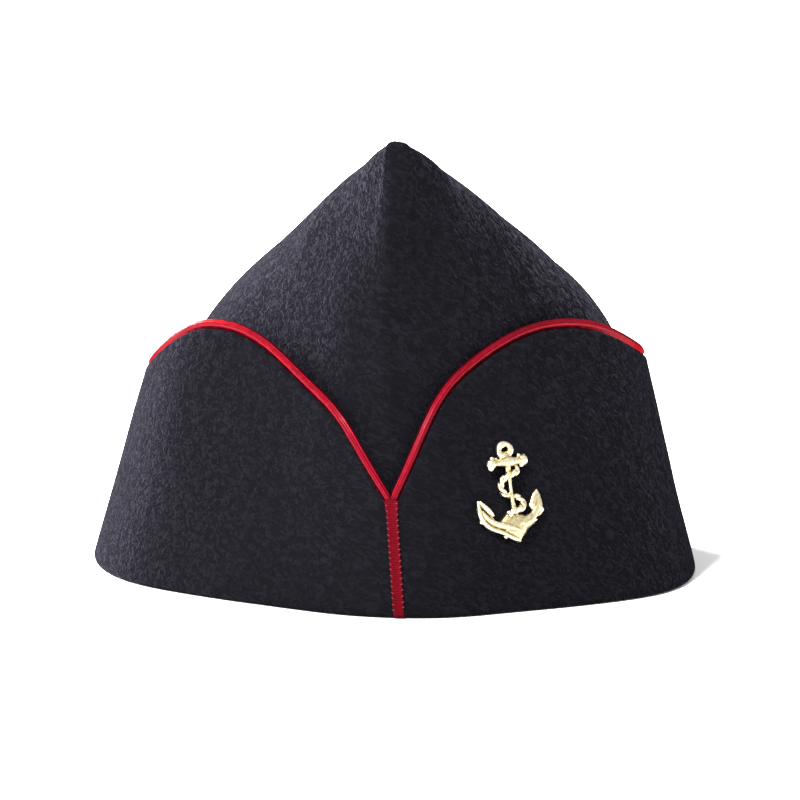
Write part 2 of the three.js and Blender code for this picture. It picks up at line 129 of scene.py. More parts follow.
def smooth_through(xs, ys, flat_ends=False):
    """A function that runs smoothly through the points."""
    xs, ys = np.asarray(xs, float), np.asarray(ys, float)
    steps = np.diff(xs)
    slopes = slopes_through(xs, ys, flat_ends)

    def at(x):
        i = np.clip(np.searchsorted(xs, x, side="right") - 1, 0, len(xs) - 2)
        t = (x - xs[i]) / steps[i]
        return (
            (2 * t**3 - 3 * t**2 + 1) * ys[i]
            + (t**3 - 2 * t**2 + t) * steps[i] * slopes[i]
            + (3 * t**2 - 2 * t**3) * ys[i + 1]
            + (t**3 - t**2) * steps[i] * slopes[i + 1]
        )

    return at


LENGTHS = np.concatenate([[0], np.cumsum(np.hypot(*np.diff(RIM_SECTIONS[:, :2], axis=0).T))])
HALF_GIRTH = LENGTHS[-1]
SHARES = LENGTHS / HALF_GIRTH

rim_x = smooth_through(SHARES, RIM_SECTIONS[:, 0])
rim_y = smooth_through(SHARES, RIM_SECTIONS[:, 1], flat_ends=True)
rim_lean = smooth_through(SHARES, RIM_SECTIONS[:, 2])
edge_height = {
    -1: smooth_through(SHARES, RIM_SECTIONS[:, 3]),
    1: smooth_through(SHARES, RIM_SECTIONS[:, 4]),
}
wall_z, slack, over_x, over_y, over_z, ridge_y, full_left, full_right = (
    smooth_through(SHARES, column) for column in ROOF_SECTIONS.T
)
fullness = {-1: full_left, 1: full_right}
ridge_height = smooth_through(*RIDGE.T)
bow_at = smooth_through(*BOW.T)


def unit(vectors):
    return vectors / np.linalg.norm(vectors, axis=-1, keepdims=True)


def ease(value):
    """A smooth step from 0 to 1."""
    value = np.clip(value, 0, 1)
    return value**2 * (3 - 2 * value)


def bow(x, y, z):
    """How far the wandering front seam carries the cloth sideways."""
    side = ease(1 - np.abs(x) / BOW_REACH)
    back = ease((BOW_END - y) / BOW_FADE)
    return bow_at(np.clip(z, 0, BOW[-1, 0])) * side * back


def placed(x, y, z, side):
    """Points on one side of the middle seam, carried sideways with it."""
    x, y, z = np.broadcast_arrays(x, y, z)
    return np.stack([side * (np.maximum(0, x) + SEAM_HALF) + bow(x, y, z), y, z], -1)


def kept_on_side(points, side):
    """Moves points that reach over the middle seam back to it."""
    seam = bow(0 * points[..., 0], points[..., 1], points[..., 2])
    out = side * (points[..., 0] - seam)
    points[..., 0] = np.where(out < SEAM_HALF, seam + side * SEAM_HALF, points[..., 0])
    return points


RIM_STEP = 1e-4  # the share to each side from which the rim's direction is measured


def rim_frame(share):
    """The rim's x and y, and the direction that points outwards from it in plan."""
    before, after = np.clip(share - RIM_STEP, 0, 1), np.clip(share + RIM_STEP, 0, 1)
    along = unit(np.stack([rim_x(after) - rim_x(before), rim_y(after) - rim_y(before)], -1))
    return rim_x(share), rim_y(share), along[..., 1], -along[..., 0]


def lean_slope(share):
    return np.tan(np.radians(rim_lean(share)))


def flap_point(share, z, inset, side):
    """A point of the flap: inset is how far it lies in from the outer face."""
    x, y, out_x, out_y = rim_frame(share)
    inward = lean_slope(share) * z + inset
    return placed(x - out_x * inward, y - out_y * inward, z, side)


# How the crown's inner face lies under its outer face.
INNER_OVER_IN, INNER_OVER_DOWN, INNER_RIDGE_SHRINK, INNER_RIDGE_DROP = 0.8, 0.6, 0.04, 2.6


def crown_plan(share, climb, side, inset):
    """Points up the crown's sections, from climb 0 at the foot to 1 at the ridge, for placed() to place."""
    x, y, out_x, out_y = rim_frame(share)

    def in_plan(inward, z):
        return np.stack([x - out_x * inward, y - out_y * inward, z], -1)

    wall = wall_z(share)
    foot_inward = FLAP_THICK + GAP + lean_slope(share) * CROWN_FOOT
    wall_inward = FLAP_THICK + GAP + lean_slope(share) * wall + slack(share)
    top_y = ridge_y(share)
    taper = np.clip(share / RIDGE_TAPER, 0, 1)
    ridge = np.stack([RIDGE_HALF[side] * taper, top_y, ridge_height(top_y)], -1)
    over = np.stack([over_x(share), over_y(share), over_z(share)], -1)
    over = ridge + (over - ridge) * fullness[side](share)[..., None]
    if inset > 0:
        over -= inset * np.stack([
            out_x * INNER_OVER_IN, out_y * INNER_OVER_IN, np.full_like(x, INNER_OVER_DOWN)], -1)
        ridge = np.stack([
            0 * x, top_y * (1 - INNER_RIDGE_SHRINK), ridge[..., 2] - INNER_RIDGE_DROP], -1)
    foot = in_plan(foot_inward + inset, np.full_like(x, CROWN_FOOT))
    wall_point = in_plan(wall_inward + inset, wall)
    t = climb[..., None]
    return ((1 - t)**3 * foot + 3 * t * (1 - t)**2 * wall_point
            + 3 * t**2 * (1 - t) * over + t**3 * ridge)


# ---- small helpers ----
WAVE_COUNT = 28
WAVE_SPEEDS = (0.6, 1.3)
WAVE_SCALE = 0.6


def waves(points, side, length, seed, height):
    """Smooth noise of about that height, whose bumps are about that length apart."""
    rng = np.random.default_rng(seed + side)
    direction = unit(rng.normal(size=(WAVE_COUNT, 3)))
    speed = math.tau / length * rng.uniform(*WAVE_SPEEDS, size=(WAVE_COUNT, 1))
    phase = rng.uniform(0, math.tau, size=WAVE_COUNT)
    total = np.cos(points @ (direction * speed).T + phase).sum(-1)
    return total * math.sqrt(2 / WAVE_COUNT) * WAVE_SCALE * height


def ripple(run, spacing, wander, wander_length):
    """A wave along a run in millimetres, whose spacing wanders a little."""
    return np.cos(math.tau * run / spacing + wander * np.sin(run / wander_length))


def stations(fine, step):
    """Shares from seam to seam, close together beside the two seams, step mm apart elsewhere."""
    near = np.asarray(fine, float)
    middle = np.linspace(near[-1], HALF_GIRTH - near[-1], int((HALF_GIRTH - 2 * near[-1]) / step) + 1)
    return np.concatenate([near[:-1], middle, (HALF_GIRTH - near[::-1])[1:]]) / HALF_GIRTH


def seam_share(share):
    """The share that lies between each section and the nearer seam, as a column."""
    return np.minimum(share, 1 - share)[:, None]


def grid_normals(points):
    normal = np.cross(np.gradient(points, axis=0), np.gradient(points, axis=1))
    return normal / np.maximum(np.linalg.norm(normal, axis=-1, keepdims=True), 1e-9)


def linked(name, data):
    """A new object."""
    made = bpy.data.objects.new(name, data)
    bpy.context.scene.collection.objects.link(made)
    return made


def add_piece(mesh, slot, *replaced):
    """Adds a piece, named as its mesh, that rides on the body and stands for the replaced CAD nodes."""
    piece = linked(mesh.name, mesh)
    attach(piece, "root")
    if replaced:
        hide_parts(*replaced)


def rows_of(items, name, width, kind=float):
    """One property of all the vertices, edges or face corners, as rows."""
    values = np.empty(len(items) * width, kind)
    items.foreach_get(name, values)
    return values.reshape(-1, width)


def cloth_uv(mesh, rings):
    """The UV map Cloth, in metres: U runs from section to section and V round each section."""
    count, around, _ = rings.shape
    lengthwise = np.linalg.norm(np.diff(rings, axis=0), axis=-1).mean(1)
    run = np.concatenate([[0], np.cumsum(lengthwise)])
    closed = np.concatenate([rings, rings[:, :1]], axis=1)
    girth = np.cumsum(np.linalg.norm(np.diff(closed, axis=1), axis=-1), axis=1)
    girth = np.concatenate([np.zeros((count, 1)), girth], 1)
    station, place = np.divmod(rows_of(mesh.loops, "vertex_index", 1, int)[:, 0], around)
    uv = np.stack([run[station], girth[station, place]], -1)
    # the strip that closes the section ends at its whole girth, not at 0 again
    closing = np.repeat((place.reshape(-1, 4) == around - 1).any(1), 4) & (place == 0)
    uv[closing, 1] = girth[station[closing], around]
    layer = mesh.uv_layers.new(name="Cloth")
    layer.data.foreach_set("uv", (uv * MM).ravel())


def loop_mesh(name, rings, material, side):
    """A skin over sections x points round the section, in millimetres, open at its two ends."""
    count, around, _ = rings.shape
    index = np.arange(count * around).reshape(count, around)
    following = np.roll(index, -1, axis=1)
    quads = np.stack([index[:-1], index[1:], following[1:], following[:-1]], -1).reshape(-1, 4)
    if side < 0:
        quads = quads[:, ::-1]
    mesh = bpy.data.meshes.new(name)
    mesh.from_pydata((rings.reshape(-1, 3) * MM).tolist(), [], quads.tolist())
    cloth_uv(mesh, rings)
    mesh.materials.append(material)
    mesh.shade_smooth()
    mesh.update()
    return mesh


def close_ends(mesh, end_faces, rings, side):
    """Closes the first and the last section of a skin with flat faces across it."""
    count, around, _ = rings.shape
    bm = bmesh.new()
    bm.from_mesh(mesh)
    bm.verts.ensure_lookup_table()
    for start, flip in ((0, side < 0), ((count - 1) * around, side > 0)):
        for corners in end_faces:
            verts = [bm.verts[start + corner] for corner in corners]
            if flip:
                verts.reverse()
            bm.faces.new(verts).smooth = False
    bmesh.ops.recalc_face_normals(bm, faces=bm.faces)
    bm.to_mesh(mesh)
    bm.free()
    mesh.update()


# ---- materials ----
def new_material(name):
    material = bpy.data.materials.new(name)
    material.use_nodes = True
    tree = material.node_tree
    return material, tree, tree.nodes["Principled BSDF"]


def fill(tree, sockets, values):
    """Links each named socket to a node's output, or sets a plain value on the socket itself."""
    for key, value in values.items():
        if isinstance(value, bpy.types.NodeSocket):
            tree.links.new(value, sockets[key])
        else:
            sockets[key].default_value = value


def node(tree, kind, inputs=None, **settings):
    made = tree.nodes.new(kind)
    for key, value in settings.items():
        setattr(made, key, value)
    fill(tree, made.inputs, inputs or {})
    return made


def ramp(tree, factor, *stops):
    """A colour ramp; a stop's colour is three numbers, or one for a grey."""
    made = node(tree, "ShaderNodeValToRGB", {"Fac": factor})
    elements = made.color_ramp.elements
    while len(elements) < len(stops):
        elements.new(0.5)
    for element, (position, color) in zip(elements, stops):
        element.position = position
        element.color = (*color, 1) if isinstance(color, tuple) else (color, color, color, 1)
    return made.outputs["Color"]


def math_node(tree, operation, first, second):
    return node(tree, "ShaderNodeMath", {0: first, 1: second}, operation=operation).outputs[0]


def weighted(tree, first, first_share, second, second_share):
    """The sum of two outputs, each times its share."""
    return math_node(tree, "ADD", math_node(tree, "MULTIPLY", first, first_share),
                     math_node(tree, "MULTIPLY", second, second_share))


def noise(tree, vector, scale, detail=3.0, roughness=0.55, distortion=0.0):
    return node(tree, "ShaderNodeTexNoise", {
        "Vector": vector, "Scale": scale, "Detail": detail,
        "Roughness": roughness, "Distortion": distortion}).outputs["Fac"]


def bumped(tree, height, strength, distance):
    return node(tree, "ShaderNodeBump", {
        "Height": height, "Strength": strength, "Distance": distance}).outputs["Normal"]


def object_coords(tree):
    return node(tree, "ShaderNodeTexCoord").outputs["Object"]


def cloth_coords(tree):
    return node(tree, "ShaderNodeUVMap", uv_map="Cloth").outputs["UV"]


def stretched(tree, angle, stretch):
    """Object coordinates drawn out along a direction in the XZ plane."""
    return node(tree, "ShaderNodeMapping", {
        "Vector": object_coords(tree), "Rotation": (0, math.radians(angle), 0),
        "Scale": (stretch, 1, 1)}, vector_type="TEXTURE").outputs["Vector"]


def wool_material(name, nap_angle, sheen):
    """Milled wool: tufts drawn out along the nap, and fine hairs along and across it."""
    material, tree, shader = new_material(name)
    tufts = noise(tree, stretched(tree, nap_angle, 3.0), 760, 1.4, 0.5, 1.2)
    hairs = noise(tree, stretched(tree, nap_angle + 14, 4.5), 2300, 2, 0.5, 1.6)
    cross_hairs = noise(tree, stretched(tree, nap_angle - 70, 4.0), 1900, 2, 0.5, 1.8)
    cloud = noise(tree, object_coords(tree), 45, 2)
    tuft_mask = ramp(tree, tufts, (0.43, 0.0), (0.60, 1.0))
    hair_mask = ramp(tree, hairs, (0.50, 0.0), (0.72, 1.0))
    cross_mask = ramp(tree, cross_hairs, (0.56, 0.0), (0.74, 1.0))
    fibre = math_node(tree, "MAXIMUM", math_node(tree, "MULTIPLY", hair_mask, 0.8),
                      math_node(tree, "MULTIPLY", cross_mask, 0.6))
    light = weighted(tree, tuft_mask, 0.55, fibre, 0.45)
    light = math_node(tree, "MULTIPLY", light, math_node(tree, "ADD", cloud, 0.45))
    height = math_node(tree, "ADD", tufts, math_node(tree, "MULTIPLY", fibre, 0.06))
    fill(tree, shader.inputs, {
        "Base Color": ramp(tree, light, (0.0, (0.0042, 0.0040, 0.0051)), (0.35, (0.0052, 0.0049, 0.0064)),
                           (0.95, (0.0084, 0.0078, 0.0108))),
        "Roughness": 0.92,
        "Specular IOR Level": 0.0,
        "Sheen Weight": ramp(tree, tufts, (0.42, 0.17 * sheen), (0.68, sheen)),
        "Sheen Roughness": 0.4,
        "Sheen Tint": (0.75, 0.71, 0.95, 1),
        "Normal": bumped(tree, height, 1.0, 0.00068),
    })
    return material


def cord_material():
    """Satin over a cord: its threads give a red gloss, wide along the cord and narrow across it."""
    material, tree, shader = new_material("red_satin_cord")
    thread = node(tree, "ShaderNodeMapping", {
        "Vector": cloth_coords(tree), "Rotation": (0, 0, math.radians(38))}, vector_type="TEXTURE")
    weave = node(tree, "ShaderNodeTexWave", {
        "Vector": thread.outputs["Vector"], "Scale": 950, "Distortion": 1.2,
        "Detail": 1.5, "Detail Scale": 1.0}).outputs["Fac"]
    coords = object_coords(tree)
    mottle = noise(tree, coords, 700, 3, 0.6)
    slow = noise(tree, coords, 60, 2)
    facing = node(tree, "ShaderNodeLayerWeight", {"Blend": 0.5}).outputs["Facing"]
    along = node(tree, "ShaderNodeTangent", direction_type="UV_MAP", uv_map="Cloth").outputs["Tangent"]
    fill(tree, shader.inputs, {
        "Base Color": ramp(tree, weighted(tree, mottle, 0.6, slow, 0.4), (0.30, (0.12, 0.001, 0.006)),
                           (0.52, (0.17, 0.002, 0.010)), (0.72, (0.22, 0.005, 0.015))),
        "Roughness": ramp(tree, mottle, (0.3, 0.30), (0.7, 0.40)),
        "Metallic": 0.8,
        "Specular Tint": (0.55, 0.02, 0.05, 1),
        "Specular IOR Level": 0.0,
        "Anisotropic": 1.0,
        "Tangent": along,
        "Coat Weight": ramp(tree, facing, (0.40, 0.13), (0.80, 0.0)),
        "Coat Roughness": 0.26,
        "Normal": bumped(tree, weighted(tree, weave, 0.6, mottle, 0.7), 0.12, 0.0001),
    })
    return material


def tape_material():
    """A dull tape, woven in ribs."""
    material, tree, shader = new_material("red_woven_tape")
    ribs = node(tree, "ShaderNodeTexWave", {
        "Vector": cloth_coords(tree), "Scale": 480, "Distortion": 0.6,
        "Detail": 1.0}, bands_direction="X").outputs["Fac"]
    mottle = noise(tree, object_coords(tree), 1200, 3, 0.6)
    mix = weighted(tree, ribs, 0.35, mottle, 0.65)
    fill(tree, shader.inputs, {
        "Base Color": ramp(tree, mix, (0.25, (0.052, 0.0004, 0.002)), (0.5, (0.075, 0.0008, 0.004)),
                           (0.8, (0.105, 0.002, 0.007))),
        "Roughness": 0.78,
        "Specular IOR Level": 0.03,
        "Normal": bumped(tree, mix, 0.45, 0.00012),
    })
    return material


def thread_material():
    """The stitches' twisted thread."""
    material, tree, shader = new_material("red_thread")
    strands = noise(tree, stretched(tree, 30, 3), 5000, 2)
    fill(tree, shader.inputs, {
        "Base Color": ramp(tree, strands, (0.3, (0.07, 0.002, 0.005)), (0.7, (0.12, 0.008, 0.014))),
        "Roughness": 0.6,
    })
    return material


def gilt_material():
    """Gilt brass with random wear, and painted shade that darkens its hollows and the parts near its back.
    """
    material, tree, shader = new_material("gilt_badge")
    coords = object_coords(tree)
    recess = node(tree, "ShaderNodeAttribute", attribute_name="recess").outputs["Fac"]
    worn = noise(tree, coords, 1500, 3, 0.6)
    wear = math_node(tree, "MULTIPLY", math_node(tree, "SUBTRACT", worn, 0.5), 0.5)
    # painted shade: the recess value darkens the gilding in hollows and near the back; the worn noise adds
    # real wear
    shade_and_wear = math_node(tree, "ADD", recess, wear)
    hammered = noise(tree, coords, 900, 2, 0.5)
    fill(tree, shader.inputs, {
        "Base Color": ramp(tree, shade_and_wear, (0.20, (0.86, 0.79, 0.58)), (0.36, (0.58, 0.47, 0.22)),
                           (0.56, (0.16, 0.12, 0.04)), (0.85, (0.04, 0.032, 0.010))),
        "Metallic": 1.0,
        "Roughness": ramp(tree, worn, (0.3, 0.24), (0.7, 0.40)),
        "Normal": bumped(tree, hammered, 0.5, 0.0002),
    })
    return material


def steel_material():
    """Plain steel with fine marks, for the badge's pin."""
    material, tree, shader = new_material("steel_pin")
    marks = noise(tree, object_coords(tree), 2500, 4, 0.7)
    fill(tree, shader.inputs, {
        "Base Color": ramp(tree, marks, (0.3, 0.32), (0.7, 0.55)),
        "Roughness": ramp(tree, marks, (0.3, 0.25), (0.7, 0.45)),
        "Metallic": 1.0,
    })
    return material


CROWN_WOOL = wool_material("wool_crown", 26, 0.085)
FLAP_WOOL = wool_material("wool_flap", 18, 0.055)
CORD = cord_material()
TAPE = tape_material()
THREAD = thread_material()
GILT = gilt_material()
STEEL = steel_material()

# ---- the crown ----
# How far the sections beside a seam lie from it; the others are evenly spaced.
CROWN_NEAR_SEAM = (0, 0.25, 0.55, 0.9, 1.3, 1.8, 2.4, 3.1, 4, 5, 6.2, 7.6)
CROWN_SPACING = 1.7
CROWN_STEPS = 84
CROWN_CROWDING = 1.15  # above 1, a section's points lie closer together towards the ridge
INNER_STEPS = 40
# The ridge's rounded top: the part of its half width, and the rise above it.
RIDGE_ROLL = [
    (0.80, 0.28), (0.60, 0.46), (0.42, 0.55), (0.26, 0.56), (0.14, 0.50), (0.05, 0.34), (0.0, 0.12),
]
RELAX_REACH, RELAX_ROUNDS = 16, 3
# The left half is drawn in below the peak: depth, end from the front seam, lean towards it; then the height
# where it sets in, the climb over which it grows, and the drop below the ridge over which it fades.
CREASE_DEPTH, CREASE_END, CREASE_SKEW = 3.0, 50.0, 0.8
CREASE_LOW, CREASE_FADE, CREASE_TOP = 80.0, 20.0, 15.0
# The right half is filled out there: depth, height and spread; then its start and end from the front seam.
FULL_DEPTH, FULL_HEIGHT, FULL_SPREAD = 0.5, 119.5, 6.0
FULL_FROM, FULL_END = 6.0, 110.0
# The seams dip where the two halves are sewn together: how deep and how wide.
CROWN_DIP, CROWN_DIP_WIDTH = 0.34, 0.75
# Puckers beside the seams: height, reach, and where they begin; then spacing, wander and its length.
CROWN_PUCKER, CROWN_PUCKER_REACH, CROWN_PUCKER_START = 0.10, 7, 1.5
CROWN_RIPPLE = (6.3, 1.3, 9)
# Soft unevenness of the cloth: length, seed and height of each wave. It sets in above the foot and away from
# the seams, and calms towards the peak.
CROWN_WAVES = [(60, 11, 0.28), (21, 31, 0.10)]
SOFT_FROM, SOFT_FADE, SOFT_GROWTH = 8, 25, 30
PEAK_FROM, PEAK_FADE, PEAK_CALM = 98, 16, 0.8
# A section's last points on the ridge keep their place, and those before them move little.
RIDGE_STILL, RIDGE_FADE = 8, 6
# Seam allowances inside the crown: width, thickness, soft edge, and how they set in above the foot.
ALLOWANCE_WIDTH, ALLOWANCE_THICK, ALLOWANCE_EDGE = 9.0, 0.7, 1.2
ALLOWANCE_FOOT, ALLOWANCE_FADE = 1.5, 2


def relax_top(rings):
    """Rounds the last points of each section over into the ridge, with the end point held."""
    for _ in range(RELAX_ROUNDS):
        top = rings[:, -RELAX_REACH - 2:]
        middle = (top[:, :-2] + 2 * top[:, 1:-1] + top[:, 2:]) / 4
        rings[:, -RELAX_REACH - 1:-1] = middle
    return rings


def crease(side, share, points):
    """How far the half is drawn in near the peak. The right one is filled out, which counts as negative."""
    run = share * HALF_GIRTH
    height = points[..., 2]
    if side < 0:
        reach = np.sin(math.pi * np.clip(run / CREASE_END, 0, 1) ** CREASE_SKEW)
        high = ease((height - CREASE_LOW) / CREASE_FADE)
        below_ridge = ease((height[:, -1:] - height) / CREASE_TOP)
        return CREASE_DEPTH * reach[:, None] * high * below_ridge
    away = ease(run / FULL_FROM) * ease(1 - run / FULL_END)
    return -FULL_DEPTH * away[:, None] * np.exp(-((height - FULL_HEIGHT) / FULL_SPREAD) ** 2)


def crown_rings(side):
    """Sections up the crown's outer face and over its half of the ridge."""
    share = stations(CROWN_NEAR_SEAM, CROWN_SPACING)
    climb = 1 - (1 - np.linspace(0, 1, CROWN_STEPS)) ** CROWN_CROWDING
    outer = crown_plan(*np.meshgrid(share, climb, indexing="ij"), side, 0)
    drawn_in = crease(side, share, outer)
    half = RIDGE_HALF[side]
    taper = np.clip(share / RIDGE_TAPER, 0, 1)
    ridge = outer[:, -1]
    rolled = [np.stack([half * part * taper, ridge[:, 1], ridge[:, 2] + rise], -1)
              for part, rise in RIDGE_ROLL]
    outer = relax_top(np.concatenate([outer, np.stack(rolled, 1)], 1))
    flat = placed(outer[..., 0], outer[..., 1], outer[..., 2], side)
    height = outer[..., 2]
    near = seam_share(share)
    from_seam = near * HALF_GIRTH
    soft = sum(waves(flat, side, *wave) for wave in CROWN_WAVES)
    soft *= ease((height - SOFT_FROM) / SOFT_FADE) * (1 - PEAK_CALM * ease((height - PEAK_FROM) / PEAK_FADE))
    soft *= np.clip(near * SOFT_GROWTH, 0, 1)
    puckers = (CROWN_PUCKER * np.exp(-from_seam / CROWN_PUCKER_REACH)
               * ease(from_seam / CROWN_PUCKER_START) * ripple(height, *CROWN_RIPPLE))
    calm = np.ones(outer.shape[1])
    calm[-RIDGE_STILL:] = 0
    calm[-RIDGE_STILL - RIDGE_FADE:-RIDGE_STILL] = np.linspace(0.85, 0.1, RIDGE_FADE)
    amount = (soft + puckers) * calm
    amount[:, :CROWN_STEPS] -= drawn_in
    pushed = flat + (grid_normals(flat) * side) * amount[..., None]
    dip = CROWN_DIP * np.exp(-(from_seam / CROWN_DIP_WIDTH) ** 2)
    inward = np.where(share < 0.5, 1.0, -1.0)[:, None]
    pushed[..., 1] += dip * inward * (height > CROWN_FOOT + 0.1)
    return share, pushed


def crown_inner_rings(side, share):
    """Sections down the crown's inner face, thickened by the allowances beside the seams and the ridge."""
    climb = np.linspace(1, 0, INNER_STEPS)
    inner = crown_plan(*np.meshgrid(share, climb, indexing="ij"), side, CROWN_THICK)
    flat = placed(inner[..., 0], inner[..., 1], inner[..., 2], side)
    normal = grid_normals(flat) * side  # points inwards, because the grid runs downwards
    below_ridge = np.linalg.norm(flat - flat[:, :1], axis=-1)
    distance = np.minimum(seam_share(share) * HALF_GIRTH, below_ridge)
    above_foot = ease((inner[..., 2] - ALLOWANCE_FOOT) / ALLOWANCE_FADE)
    band = ease((ALLOWANCE_WIDTH - distance) / ALLOWANCE_EDGE) * above_foot * ALLOWANCE_THICK
    band *= ease(distance)
    drawn_in = crease(side, share, flat[:, ::-1])[:, ::-1]
    return kept_on_side(flat + normal * (band + drawn_in)[..., None], side)


def wall_strips(outer_count, inner_count):
    """Faces across the wall, each along a few of the outer points and back along two of the inner ones."""
    last = outer_count + inner_count - 1
    strips = []
    for k in range(inner_count - 1):
        low = round(k * (outer_count - 1) / (inner_count - 1))
        high = round((k + 1) * (outer_count - 1) / (inner_count - 1))
        strips.append([*range(low, high + 1), last - k - 1, last - k])
    return strips


def make_crown(word):
    side = SIDES[word]
    share, outer = crown_rings(side)
    inner = crown_inner_rings(side, share)
    rings = np.concatenate([outer, inner], axis=1)
    mesh = loop_mesh(f"crown_{word}_felt", rings, CROWN_WOOL, side)
    close_ends(mesh, wall_strips(outer.shape[1], inner.shape[1]), rings, side)
    add_piece(mesh, "crown_wool", f"crown_{word}")


# ---- the flaps ----
FLAP_NEAR_SEAM = (0, 0.3, 0.7, 1.2, 1.9, 2.8, 4)
FLAP_SPACING = 1.5
# The outer face runs from above the fold to below the edge, and the inner face back down into the fold.
OUTER_FOOT, INNER_FOOT, BELOW_EDGE = 2.2, 1.8, -1.5
OUTER_STEPS, BACK_STEPS = 46, 24
# Roll of the flap's edge under the piping: inset, and height against the edge.
EDGE_ROLL = [
    (0.0, -1.5), (0.03, -1.0), (0.14, -0.55), (0.38, -0.18), (0.72, -0.03), (1.02, -0.14), (1.24, -0.42),
    (1.5, -0.62), (1.76, -0.42), (1.98, -0.14), (2.28, -0.03), (2.62, -0.18), (2.86, -0.55), (2.97, -1.0),
    (3.0, -1.5),
]
# Fold at the rim, from the inner face under the crown's foot to the outer face: inset and height.
RIM_FOLD = [
    (3.02, 1.2), (3.06, 0.8), (3.16, 0.56), (3.5, 0.48), (4.4, 0.46), (5.05, 0.46), (5.28, 0.36),
    (5.3, 0.2), (5.1, 0.05), (4.6, 0.0), (3.6, 0.0), (2.6, 0.0), (1.7, 0.0), (1.15, 0.07), (0.72, 0.24),
    (0.38, 0.55), (0.14, 1.0), (0.03, 1.6),
]
# The seams between the two flaps dip: how deep, how wide, and how the dip sets in above the rim.
FLAP_DIP, FLAP_DIP_WIDTH, FLAP_DIP_FROM, FLAP_DIP_FADE = 0.45, 1.3, 0.8, 2
# Soft unevenness: length, seed and height of two waves, the long one drawn out upwards. It sets in above the
# rim and away from the seams, as the puckers do.
LONG_WAVE, SHORT_WAVE = (62, 5, 0.3), (24, 55, 0.10)
LONG_WAVE_SQUEEZE = [1, 1, 0.8]
FLAP_SOFT_FROM, FLAP_SOFT_FADE, FLAP_SEAM_HOLD = 3, 22, 14
# Puckers below the piping: height, start of their fading, reach; then spacing, wander and its length.
FLAP_PUCKER, FLAP_PUCKER_START, FLAP_PUCKER_REACH = 0.10, 1, 4.5
FLAP_RIPPLE = (7.4, 1.7, 13)


def flap_rings(side):
    """Sections up the flap's outer face, over its edge, down inside and round the fold at the rim."""
    share = stations(FLAP_NEAR_SEAM, FLAP_SPACING)
    edge = edge_height[side](share)
    places = [(0.0, OUTER_FOOT + (edge + BELOW_EDGE - OUTER_FOOT) * k / OUTER_STEPS)
              for k in range(OUTER_STEPS)]
    places += [(inset, edge + rise) for inset, rise in EDGE_ROLL]
    places += [(FLAP_THICK, edge + BELOW_EDGE + (INNER_FOOT - edge - BELOW_EDGE) * k / BACK_STEPS)
               for k in range(1, BACK_STEPS + 1)]
    places += [(inset, np.full_like(share, z)) for inset, z in RIM_FOLD]
    return share, np.stack([flap_point(share, z, inset, side) for inset, z in places], 1)


def seam_dip(near_seam, height):
    """How deep the seam between the two flaps lies under their outer faces."""
    above_rim = ease((height - FLAP_DIP_FROM) / FLAP_DIP_FADE)
    return FLAP_DIP * np.exp(-(near_seam / FLAP_DIP_WIDTH) ** 2) * above_rim


def shape_flap(side, share, rings):
    """Soft unevenness of the cloth, small puckers below the piping, and the dip at the two seams."""
    edge = edge_height[side](share)[:, None]
    _, _, out_x, out_y = rim_frame(share)
    outward = np.stack([side * out_x, out_y, 0 * out_x], -1)[:, None]
    height = rings[..., 2]
    up = ease((height - FLAP_SOFT_FROM) / FLAP_SOFT_FADE)
    near_seam = seam_share(share) * HALF_GIRTH
    hold = ease(near_seam / FLAP_SEAM_HOLD)
    soft = waves(rings * LONG_WAVE_SQUEEZE, side, *LONG_WAVE) + waves(rings, side, *SHORT_WAVE)
    below = np.clip(edge - height - FLAP_PUCKER_START, 0, None)
    run = share[:, None] * HALF_GIRTH
    pucker = FLAP_PUCKER * np.exp(-below / FLAP_PUCKER_REACH) * ripple(run, *FLAP_RIPPLE)
    amount = soft * up * hold + pucker * hold * up
    return rings + outward * (amount - seam_dip(near_seam, height))[..., None]


def make_flap(word):
    side = SIDES[word]
    share, rings = flap_rings(side)
    rings = shape_flap(side, share, rings)
    mesh = loop_mesh(f"flap_{word}_felt", rings, FLAP_WOOL, side)
    close_ends(mesh, [range(rings.shape[1])], rings, side)
    add_piece(mesh, "flap_wool", f"flap_{word}")


# ---- the piping ----
CORD_STATIONS = 420
CORD_SIDES = 48
CORD_STEP = 0.002  # the share to each side from which the edge's slope is measured
CORD_SINK = 0.25  # how far it settles towards the flap's edge
# A fold in the satin runs along the outer face: angle and width round the cord, and part of the radius.
FOLD_ANGLE, FOLD_WIDTH, FOLD_DEPTH = math.radians(32), 0.15, 0.18
# A flange goes down between the flap's layers: width round the cord, and depth.
FLANGE_WIDTH, FLANGE_DEPTH = 0.30, 0.75
# The cord's thickness varies a little: how much; then spacing, wander and its length.
CORD_UNEVEN = 0.018
CORD_RIPPLE = (5.1, 2, 17)


def cord_path(side):
    """The cord's middle line, a little above the flap's edge."""
    share = np.linspace(0, 1, CORD_STATIONS)
    before, after = np.clip(share - CORD_STEP, 0, 1), np.clip(share + CORD_STEP, 0, 1)
    rise = edge_height[side](after) - edge_height[side](before)
    steep = np.hypot(1, rise / ((after - before) * HALF_GIRTH))
    z = edge_height[side](share) + (CORD_RADIUS + CORD_GAP - CORD_SINK) * steep
    return share, flap_point(share, z, FLAP_THICK / 2, side)


